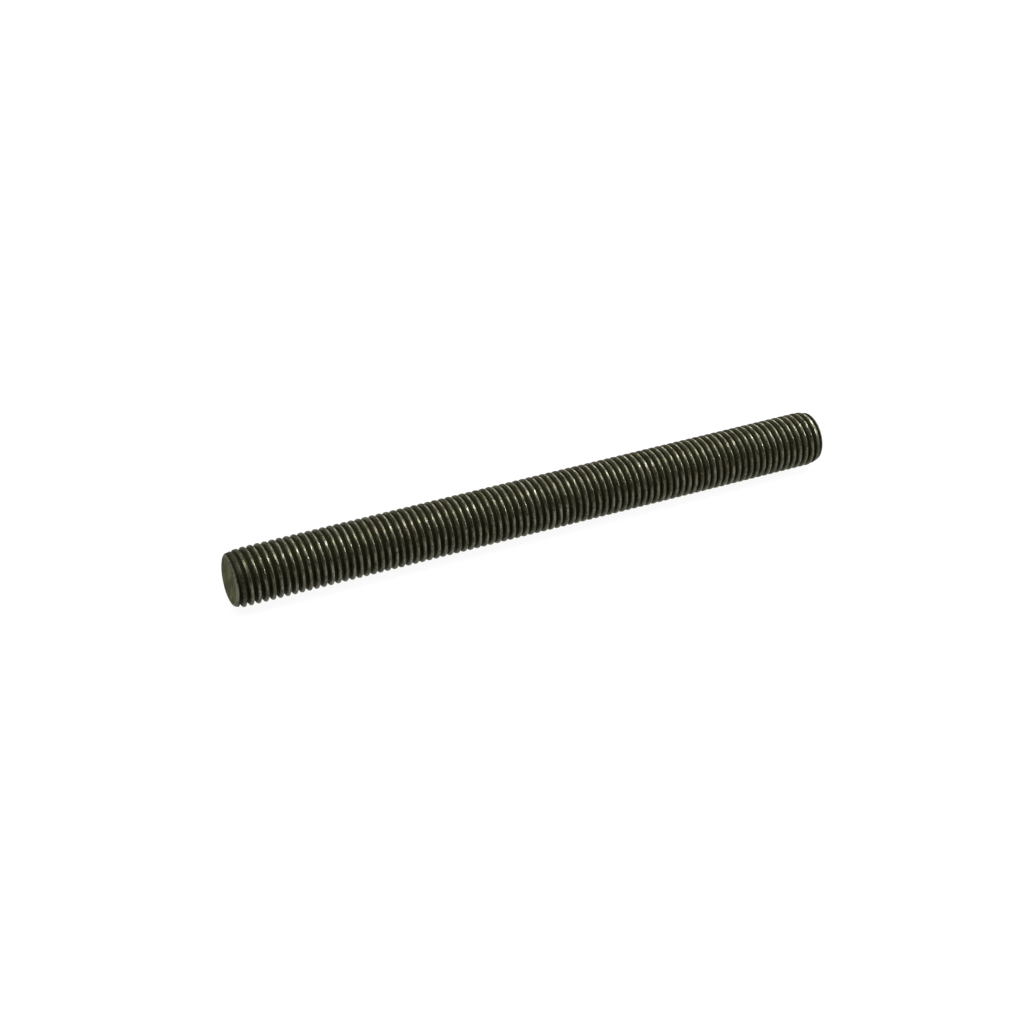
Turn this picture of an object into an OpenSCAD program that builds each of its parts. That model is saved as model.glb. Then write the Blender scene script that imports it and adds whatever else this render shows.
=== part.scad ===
/* [Rod] */
// Length along the axis, from end face to end face
length = 176; // [20:1:300]
// Diameter over the crests of the thread
major_d = 15.5; // [12:0.1:24]

/* [Thread] */
// Distance that a nut travels in one turn
pitch = 2; // [1.5:0.25:3]
// Angle between the two flanks of the groove
flank_angle = 60; // [50:1:65]
// Width of the flat along the crest
crest_w = 0.5; // [0.1:0.05:0.7]
// Width of the flat at the bottom of the groove
root_w = 0.3; // [0.1:0.05:0.5]
// Where the crest meets the near end, as an angle from +Y towards +Z
start_angle = 158; // [0:1:359]

/* [Ends] */
// Diameter of the flat face inside the chamfer
face_d = 12.5; // [8:0.1:13]
// Angle between the chamfer and the axis
chamfer_angle = 60; // [30:1:70]
// How much lower the first crest behind the chamfer is than a full one
first_crest_drop = 0.65; // [0.2:0.05:1]
// Distance from the end face to where the crests have their full height
full_crest_at = 4.2; // [2.5:0.1:8]
// Angle by which the near end was sawn out of square
saw_slant = 3; // [0:0.5:5]
// Way in which the slanted face leans, as an angle from +Y towards +Z
slant_way = 101; // [0:1:359]

/* [Hidden] */

// Triangles that the thread may take, which set how finely each turn is divided
thread_triangles = 12000;
// Turns that the helix runs on past each end, where the ends are then cut off
spare_turns = 1.5;

crest_r = major_d / 2;
flank_w = (pitch - crest_w - root_w) / 2;
root_r = crest_r - flank_w / tan(flank_angle / 2);

// One pitch of the thread along the axis, as [place from the middle of the crest, radius]
profile = [
  [-crest_w / 2 - flank_w - root_w, root_r],
  [-crest_w / 2 - flank_w, root_r],
  [-crest_w / 2, crest_r],
  [crest_w / 2, crest_r]
];
corners = len(profile);

turns = ceil(length / pitch + start_angle / 360 + spare_turns + 0.5);
// A multiple of four keeps the rod's height and width equal
steps = max(8, 4 * floor(thread_triangles / (2 * corners * turns) / 4));
last = turns * steps;

// Place along the axis of the crest, after k steps of the helix
function crest_x(k) = pitch * (k / steps - start_angle / 360 - spare_turns);

// Point of the thread's surface: the profile's corner p, after k steps
function thread_point(k, p) =
  let (angle = 360 * k / steps)
  [crest_x(k) + p[0], p[1] * cos(angle), p[1] * sin(angle)];

// Number of a point in the list; past the profile's last corner comes the first one of the next turn
function index(k, j) = j < corners ? corners * k + j : index(k + steps, 0);

// Edge left open at step k: once round the root, then back down the profile
function rim(k) = concat(
  [for (i = [0 : steps]) index(k + i, 0)],
  [for (j = [corners - 1 : -1 : 1]) index(k, j)]
);

function reversed(list) = [for (i = [len(list) - 1 : -1 : 0]) list[i]];

// Triangles from an open edge to a point on the axis
function cap(edge, hub) = [for (i = [0 : len(edge) - 1]) [edge[i], edge[(i + 1) % len(edge)], hub]];

// The thread is one endless groove, wound like a ribbon whose two edges meet a turn apart
module thread() {
  surface_points = [for (k = [0 : last + steps]) for (p = profile) thread_point(k, p)];
  near_hub = len(surface_points);
  hubs = [for (k = [0, last]) [crest_x(k) + pitch / 2, 0, 0]];
  ribbon = [
    for (k = [0 : last - 1]) for (j = [0 : corners - 1]) each [
      [index(k, j), index(k, j + 1), index(k + 1, j + 1)],
      [index(k, j), index(k + 1, j + 1), index(k + 1, j)]
    ]
  ];
  near_cap = cap(rim(0), near_hub);
  far_cap = cap(reversed(rim(last)), near_hub + 1);
  polyhedron(concat(surface_points, hubs), concat(ribbon, near_cap, far_cap));
}

// What the saw and the grinder take away at an end whose face lies at the origin
module end_waste() {
  outer_r = crest_r + 1;
  first_r = crest_r - first_crest_drop;
  face_r = min(face_d / 2, first_r - 0.1);
  chamfer_l = (first_r - face_r) / tan(chamfer_angle);
  lead_slope = (full_crest_at - chamfer_l) / first_crest_drop;
  lead_l = chamfer_l + lead_slope * (outer_r - first_r);
  waste_l = pitch * (spare_turns + 2);
  rotate([0, 90, 0])
    rotate_extrude($fn = 96)
      polygon([
        [0, -waste_l],
        [outer_r, -waste_l],
        [outer_r, lead_l],
        [first_r, chamfer_l],
        [face_r, 0],
        [0, 0]
      ]);
}

module threaded_rod() {
  color("#35332b")
    difference() {
      thread();
      rotate(a = saw_slant, v = [0, sin(slant_way), -cos(slant_way)]) end_waste();
      translate([length, 0, 0]) mirror([1, 0, 0]) end_waste();
    }
}

threaded_rod();
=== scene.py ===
"""A length of threaded rod, lying on a white table under soft studio light."""
import math

import bpy
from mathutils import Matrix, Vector


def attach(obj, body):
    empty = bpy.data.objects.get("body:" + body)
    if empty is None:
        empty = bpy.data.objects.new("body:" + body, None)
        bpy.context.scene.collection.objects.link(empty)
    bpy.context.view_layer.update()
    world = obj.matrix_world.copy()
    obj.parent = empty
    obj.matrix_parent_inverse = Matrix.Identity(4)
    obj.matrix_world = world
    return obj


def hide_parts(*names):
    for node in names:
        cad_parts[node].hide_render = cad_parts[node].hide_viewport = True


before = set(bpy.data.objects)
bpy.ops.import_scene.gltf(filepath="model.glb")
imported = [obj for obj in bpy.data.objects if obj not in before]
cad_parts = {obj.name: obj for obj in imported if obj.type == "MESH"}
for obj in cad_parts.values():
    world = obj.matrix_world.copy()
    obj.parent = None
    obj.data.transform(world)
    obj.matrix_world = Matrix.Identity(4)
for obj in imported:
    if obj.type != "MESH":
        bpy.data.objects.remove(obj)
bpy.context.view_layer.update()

# --- Camera ---------------------------------------------------------------------------
# The camera stands in front of the rod's sawn end, to its left, and looks down at it by
# about a third of a right angle. Its place and lens were fitted to the photograph.
camera_place = (-0.10158, -0.40253, 0.28854)
camera_azimuth = -24.3607
camera_elevation = 33.1949

bpy.ops.object.camera_add(
    location=camera_place,
    rotation=(math.radians(90 - camera_elevation), 0, math.radians(camera_azimuth)),
)
camera = bpy.context.object
camera.name = "camera"
camera.data.sensor_width = 36
camera.data.lens = 67.8
camera.data.clip_start = 0.01
bpy.context.scene.camera = camera

# --- The rod --------------------------------------------------------------------------
# One bar of plain carbon steel. Its thread is rolled in from end to end, which leaves
# round crests, and the bar is then sawn to length and each end is dressed on a grinder,
# so that a nut will start. It is modelled in millimetres and brought to metres at the end.
mm = 0.001
length = 176
pitch = 2
crest_radius = 7.75
crest_flat = 0.5
crest_rounding = 0.17
root_flat = 0.3
root_rounding = 0.14
flank_angle = 60
start_angle = 158
saw_slant = 3
slant_way = 101
steps_per_turn = 72
# The helix starts more than a turn before the near end and runs on past the far one
first_crest = -2 * pitch + pitch * (1 - start_angle / 360)
turns = math.ceil(length / pitch) + 3


def edit(piece):
    """Goes into edit mode on one piece, with nothing selected."""
    bpy.ops.object.select_all(action="DESELECT")
    piece.select_set(True)
    bpy.context.view_layer.objects.active = piece
    bpy.ops.object.mode_set(mode="EDIT")
    bpy.ops.mesh.select_all(action="DESELECT")


def pick(piece, kind, test):
    """Selects the vertices, edges or faces of a piece that pass a test on place and normal."""
    bpy.ops.object.mode_set(mode="OBJECT")
    items = {"VERT": piece.data.vertices, "EDGE": piece.data.edges, "FACE": piece.data.polygons}
    for group in items.values():
        for item in group:
            item.select = False
    for item in items[kind]:
        item.select = test(item)
    bpy.ops.object.mode_set(mode="EDIT")
    bpy.ops.mesh.select_mode(type=kind)


def apply_modifiers(piece):
    """Applies every modifier of a piece, in their order."""
    bpy.ops.object.mode_set(mode="OBJECT")
    bpy.context.view_layer.objects.active = piece
    for modifier in list(piece.modifiers):
        bpy.ops.object.modifier_apply(modifier=modifier.name)


# One turn's section, drawn as a line from the bottom of one groove to that of the next
flank = (pitch - crest_flat - root_flat) / 2
depth = flank / math.tan(math.radians(flank_angle / 2))
root_radius = crest_radius - depth
bpy.ops.mesh.primitive_plane_add(size=1, location=(first_crest - pitch / 2, root_radius, 0))
rod = bpy.context.object
rod.name = "rod"
bpy.ops.object.transform_apply(location=True, rotation=True, scale=True)
edit(rod)
bpy.ops.mesh.select_all(action="SELECT")
bpy.ops.mesh.merge(type="CENTER")
for along, up in (
    (root_flat / 2, 0),
    (flank, depth),
    (crest_flat, 0),
    (flank, -depth),
    (root_flat / 2, 0),
):
    bpy.ops.mesh.extrude_region_move(TRANSFORM_OT_translate={"value": (along, up, 0)})

# The four corners are rounded, as the rolls leave them
for radius, reach, segments in (
    (crest_radius, crest_rounding, 3),
    (root_radius, root_rounding, 2),
):
    pick(
        rod,
        "VERT",
        lambda v: abs(v.co.y - radius) < 0.01 and abs(v.co.x - first_crest) < 0.49 * pitch,
    )
    bpy.ops.mesh.bevel(offset=reach, segments=segments, affect="VERTICES", clamp_overlap=False)

# The section runs round the bar and along it at once
bpy.ops.object.mode_set(mode="OBJECT")
helix = rod.modifiers.new("helix", "SCREW")
helix.axis = "X"
helix.angle = math.tau
helix.screw_offset = pitch
helix.iterations = turns
helix.steps = steps_per_turn
helix.render_steps = steps_per_turn
apply_modifiers(rod)
edit(rod)
bpy.ops.mesh.select_all(action="SELECT")
bpy.ops.mesh.remove_doubles(threshold=0.001)

# The bar is closed by a plain cut a little beyond each end
spare = 1
for place, way in ((-spare, -1), (length + spare, 1)):
    bpy.ops.mesh.select_all(action="SELECT")
    bpy.ops.mesh.bisect(
        plane_co=(place, 0, 0),
        plane_no=(way, 0, 0),
        use_fill=True,
        clear_outer=True,
        threshold=0.0001,
    )
bpy.ops.mesh.select_all(action="SELECT")
bpy.ops.mesh.normals_make_consistent(inside=False)
bpy.ops.object.mode_set(mode="OBJECT")

# The form that the ends are dressed to: a bar without thread, drawn out ring by ring.
# Each ring has its distance behind the end face and its radius.
rings = [(5.0, 8.0), (3.5, 7.72), (2.5, 7.6), (1.5, 7.3), (0.6, 7.07), (0.25, 6.75), (0.0, 6.1)]
plain_from, plain_radius = rings[0]
bpy.ops.object.select_all(action="DESELECT")
bpy.ops.mesh.primitive_cylinder_add(
    vertices=144,
    radius=plain_radius,
    depth=length - 2 * plain_from,
    location=(length / 2, 0, 0),
    rotation=(0, math.pi / 2, 0),
)
form = bpy.context.object
form.name = "end_form"
bpy.ops.object.transform_apply(location=True, rotation=True, scale=True)
edit(form)
for way, face in ((-1, 0), (1, length)):
    pick(form, "FACE", lambda f: f.normal.x * way > 0.9)
    for (last_behind, last_radius), (behind, radius) in zip(rings, rings[1:]):
        step = way * (last_behind - behind)
        bpy.ops.mesh.extrude_region_move(TRANSFORM_OT_translate={"value": (step, 0, 0)})
        scale = radius / last_radius
        centre = (face - way * behind, 0, 0)
        bpy.ops.transform.resize(value=(1, scale, scale), center_override=centre)

# The saw ran a little out of square at the near end. Its rings are turned until the way
# of the lean points along +Y, are leaned, and are turned back.
pick(form, "VERT", lambda v: v.co.x < plain_from - 0.001)
for turn, axis in ((slant_way, "X"), (saw_slant, "Z"), (-slant_way, "X")):
    bpy.ops.transform.rotate(
        value=math.radians(turn), orient_axis=axis, center_override=(0, 0, 0)
    )
bpy.ops.object.mode_set(mode="OBJECT")

dressing = rod.modifiers.new("dressing", "BOOLEAN")
dressing.operation = "INTERSECT"
dressing.solver = "MANIFOLD"
dressing.object = form
apply_modifiers(rod)
bpy.data.objects.remove(form)

# The two flat faces keep a crisp rim
edit(rod)
pick(rod, "FACE", lambda f: abs(f.normal.x) > 0.99 and f.area > 1)
bpy.ops.mesh.region_to_loop()
bpy.ops.mesh.mark_sharp()

# Millimetres to metres
bpy.ops.object.mode_set(mode="OBJECT")
bpy.ops.object.select_all(action="DESELECT")
rod.select_set(True)
bpy.context.view_layer.objects.active = rod
rod.scale = (mm, mm, mm)
bpy.ops.object.transform_apply(location=True, rotation=True, scale=True)
bpy.ops.object.shade_smooth_by_angle(angle=math.radians(38))


def new_material(name):
    """A material, with a function that adds a node to it and joins its inputs."""
    material = bpy.data.materials.new(name)
    material.use_nodes = True
    tree = material.node_tree
    shader = next(n for n in tree.nodes if n.type == "BSDF_PRINCIPLED")

    def add(kind, inputs, output=0, **settings):
        node = tree.nodes.new("ShaderNode" + kind)
        for key, value in settings.items():
            setattr(node, key, value)
        fill(node, inputs)
        return node.outputs[output]

    def fill(node, inputs):
        for key, value in inputs.items():
            if isinstance(value, bpy.types.NodeSocket):
                tree.links.new(value, node.inputs[key])
            else:
                node.inputs[key].default_value = value

    return material, shader, add, fill


def span(add, value, low, high, bottom=0, top=1):
    """Stretches what lies between low and high to between bottom and top."""
    inputs = {"Value": value, "From Min": low, "From Max": high, "To Min": bottom, "To Max": top}
    return add("MapRange", inputs)


def blend(add, share, first, second):
    """Mixes two colours."""
    inputs = {0: share, 6: first, 7: second}
    return add("Mix", inputs, output=2, data_type="RGBA")


def grain(add, place, stretch, size, detail=3, roughness=0.6):
    """Noise whose spots are about so many millimetres in size, stretched along each axis."""
    scale = [1 / (size * part * mm) for part in stretch]
    scaled = add("Mapping", {"Vector": place, "Scale": scale})
    inputs = {"Vector": scaled, "Scale": 1, "Detail": detail, "Roughness": roughness}
    return add("TexNoise", inputs)


def both(add, first, second):
    """The product of two shares: it is high only where both of them are."""
    return add("Math", {0: first, 1: second}, operation="MULTIPLY")


def from_axis(add, place):
    """Distance from the rod's axis, in millimetres."""
    across = add("Mapping", {"Vector": place, "Scale": (0, 1 / mm, 1 / mm)})
    return add("VectorMath", {0: across}, output="Value", operation="LENGTH")


# The thread is as the rolls left it: dark, oiled steel with an olive tint. The oil has gone
# brown in patches and in one stain on top, close to the near end. The grooves and the lower half
# of the flanks are painted near-black as shade, and the crests are rubbed brighter in short
# streaks that run round the bar.
thread_steel, shader, add, fill = new_material("oiled_thread_steel")
olive, khaki = (0.133, 0.136, 0.076, 1), (0.147, 0.134, 0.081, 1)
darker, lighter = (0.4, 0.4, 0.4, 1), (1.6, 1.6, 1.6, 1)
bare_steel = (0.25, 0.235, 0.19, 1)
brown_oil = (0.085, 0.064, 0.034, 1)
stain_brown = (0.075, 0.058, 0.03, 1)
# Painted shade for the grooves and the lower half of the flanks
groove_shade = (0.021, 0.023, 0.01, 1)
grit = (0.02, 0.02, 0.012, 1)
place = add("TexCoord", {}, output="Object")
height = from_axis(add, place)
# 0 on the lower half of the flanks and in the grooves, where shade is painted, 1 along the top
# of the crests
crest = span(add, height, 7.05, 7.68)
patch = grain(add, place, (1, 1, 1), 5.0)
streak = grain(add, place, (0.45, 2.5, 2.5), 1.2, detail=4, roughness=0.65)
dirt = grain(add, place, (1, 1, 1), 0.7, detail=4)
tint = blend(add, span(add, patch, 0.42, 0.58), olive, khaki)
worn = blend(add, span(add, streak, 0.35, 0.65), darker, lighter)
steel = add("Mix", {0: 1.0, 6: tint, 7: worn}, output=2, data_type="RGBA", blend_type="MULTIPLY")
rubbed = both(add, span(add, streak, 0.5, 0.62), span(add, height, 7.5, 7.7))
steel = blend(add, rubbed, steel, bare_steel)
brown = both(add, span(add, patch, 0.57, 0.7), span(add, dirt, 0.4, 0.6))
steel = blend(add, brown, steel, brown_oil)
stain_place = (0.006, 0.0005, 0.0077)
from_stain = add("VectorMath", {0: place, 1: stain_place}, output="Value", operation="DISTANCE")
close_by = span(add, from_stain, 0.0015, 0.005, 0.7, 0)
stain = both(add, close_by, span(add, dirt, 0.3, 0.55))
steel = blend(add, stain, steel, stain_brown)
# Painted shade: the grooves and the lower half of the flanks are coloured near-black
groove_shaded_steel = blend(add, crest, groove_shade, steel)
colour = blend(add, span(add, dirt, 0.52, 0.62, 0, 0.75), groove_shaded_steel, grit)
polish = span(add, streak, 0.3, 0.7, 0.4, 0.24)
rough = add("Mix", {0: crest, 2: 0.65, 3: polish})
relief = add("Math", {0: dirt, 1: streak}, operation="ADD")
bump = add("Bump", {"Height": relief, "Strength": 0.35, "Distance": 0.00005})
fill(
    shader,
    {
        "Base Color": colour,
        "Metallic": span(add, crest, 0, 1, 0, 0.7),
        "Roughness": rough,
        "Specular Tint": (0.78, 0.78, 0.68, 1),
        "Specular IOR Level": span(add, crest, 0, 1, 0.1, 0.6),
        "Normal": bump,
    },
)

# The saw left the end faces duller and lighter, with fine marks that run up and down, and the
# rim and chamfer of each face are painted lighter still, as a painted highlight
end_steel, shader, add, fill = new_material("sawn_end_steel")
furrow, land = (0.035, 0.041, 0.017, 1), (0.238, 0.25, 0.13, 1)
oil_film = (0.05, 0.053, 0.026, 1)
rim_highlight = (0.24, 0.24, 0.18, 1)
grit = (0.025, 0.023, 0.017, 1)
place = add("TexCoord", {}, output="Object")
marks = grain(add, place, (1, 0.45, 5), 1.0)
patch = grain(add, place, (1, 1, 1), 3.0)
dirt = grain(add, place, (1, 1, 1), 0.8, detail=4)
steel = blend(add, span(add, marks, 0.4, 0.6), furrow, land)
steel = blend(add, span(add, patch, 0.45, 0.65, 0, 0.6), steel, oil_film)
# Painted highlight: the rim of each face, from 6 mm out from the axis, is coloured lighter
rim = span(add, from_axis(add, place), 6.0, 6.2)
steel = blend(add, rim, steel, rim_highlight)
steel = blend(add, span(add, dirt, 0.55, 0.62, 0, 0.6), steel, grit)
bump = add("Bump", {"Height": marks, "Strength": 0.6, "Distance": 0.00004})
fill(
    shader,
    {
        "Base Color": steel,
        "Metallic": 0.7,
        "Roughness": 0.48,
        "Specular Tint": (0.35, 0.35, 0.28, 1),
        "Specular IOR Level": 0.2,
        "Normal": bump,
    },
)

# The sawn steel shows on both end faces and on their chamfers
middle = length / 2 * mm
end_depth = 0.7 * mm
rod.data.materials.clear()
rod.data.materials.append(thread_steel)
rod.data.materials.append(end_steel)
edit(rod)
pick(
    rod,
    "FACE",
    lambda f: abs(f.normal.x) > 0.6 and abs(f.center.x - middle) > middle - end_depth,
)
rod.active_material_index = 1
bpy.ops.object.material_slot_assign()
bpy.ops.object.mode_set(mode="OBJECT")

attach(rod, "root")
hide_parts("threaded_rod")

# --- The table ------------------------------------------------------------------------
# A smooth white table top that the rod lies on. The camera sees it white and the steel
# mirrors it a little greyer, and it keeps the rod's soft shadow.
bpy.ops.object.select_all(action="DESELECT")
bpy.ops.mesh.primitive_plane_add(size=6, location=(0.09, 0, -crest_radius * mm))
table = bpy.context.object
table.name = "table"
table_top, shader, add, fill = new_material("white_table")
seen = add("LightPath", {}, output="Is Camera Ray")
mirrored = add("LightPath", {}, output="Is Glossy Ray")
to_camera = span(add, seen, 0, 1, 0, 0.94)
to_steel = span(add, mirrored, 0, 1, 0, 0.75)
fill(
    shader,
    {
        "Base Color": (0.1, 0.1, 0.1, 1),
        "Roughness": 0.9,
        "Specular IOR Level": 0.0,
        "Emission Color": (1, 1, 1, 1),
        "Emission Strength": add("Math", {0: to_camera, 1: to_steel}, operation="ADD"),
    },
)
table.data.materials.append(table_top)

# --- Light ----------------------------------------------------------------------------
# A wide soft box hangs over the rod, with a long narrow lamp below it that draws the line
# of glints along the crests. Two small lamps stand beyond the far end and one stands on the
# far side of the rod, and they edge the crests with light. A dim white room fills the rest.
world = bpy.data.worlds.new("studio")
bpy.context.scene.world = world
world.use_nodes = True
nodes = world.node_tree.nodes
background = next(n for n in nodes if n.type == "BACKGROUND")
background.inputs["Color"].default_value = (1, 1, 1, 1)
path = nodes.new("ShaderNodeLightPath")
strength = nodes.new("ShaderNodeMapRange")
strength.inputs["To Min"].default_value = 0.06
strength.inputs["To Max"].default_value = 1.0
world.node_tree.links.new(path.outputs["Is Camera Ray"], strength.inputs["Value"])
world.node_tree.links.new(strength.outputs["Result"], background.inputs["Strength"])

lit_spot = Vector((0.06, 0, 0))
for name, place, width, height, power in (
    ("soft_box", (0.15, 0.35, 1.0), 2.4, 2.4, 10.0),
    ("key_lamp", (0.05, -0.12, 0.9), 0.6, 0.2, 4.5),
    ("upper_lamp", (0.82, 0.2, 0.44), 0.14, 0.14, 5.5),
    ("lower_lamp", (0.9, -0.14, 0.28), 0.1, 0.1, 3.0),
    ("back_lamp", (0.6, 0.75, 0.34), 0.4, 0.16, 2.2),
):
    bpy.ops.object.light_add(type="AREA", location=place)
    lamp = bpy.context.object
    lamp.name = name
    lamp.data.shape = "RECTANGLE"
    lamp.data.size = width
    lamp.data.size_y = height
    lamp.data.energy = power
    aim = lit_spot - lamp.location
    lamp.rotation_euler = aim.to_track_quat("-Z", "Y").to_euler()

bpy.context.scene.view_settings.view_transform = "Standard"
